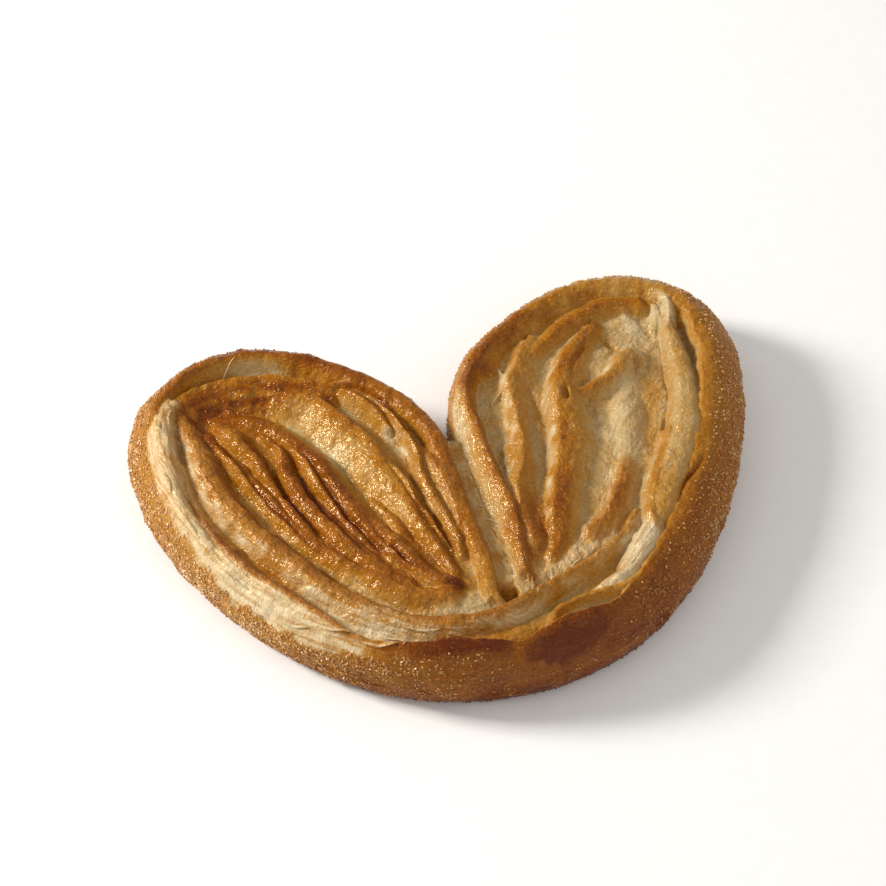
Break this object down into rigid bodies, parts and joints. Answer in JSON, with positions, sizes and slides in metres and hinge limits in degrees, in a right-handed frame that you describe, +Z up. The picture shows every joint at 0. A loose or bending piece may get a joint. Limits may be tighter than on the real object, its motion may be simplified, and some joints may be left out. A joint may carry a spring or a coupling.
{
  "type": "palmier pastry",
  "caption": "Flat heart-shaped pastry of folded puff dough, with leaf-like folds inside a raised rim, a narrow seam up the middle and a notch at the top.",
  "frame": {"origin": "centre of the footprint, on the surface that the pastry lies on", "axes": "+X from the left lobe to the right lobe, +Y from the joined base to the notch between the lobes, +Z up out of the face that shows the folds"},
  "size_m": [0.1242, 0.0906, 0.017],
  "materials": {
    "baked_crust": "flaky baked dough, pale cream in the valleys, golden to dark brown on the folds, with a thin glossy sugar glaze",
    "sugar_crystals": "fine sugar grains baked onto the crust, part of them melted"
  },
  "bodies": {
    "root": {"palmier": "baked_crust"}
  },
  "joints": []
}
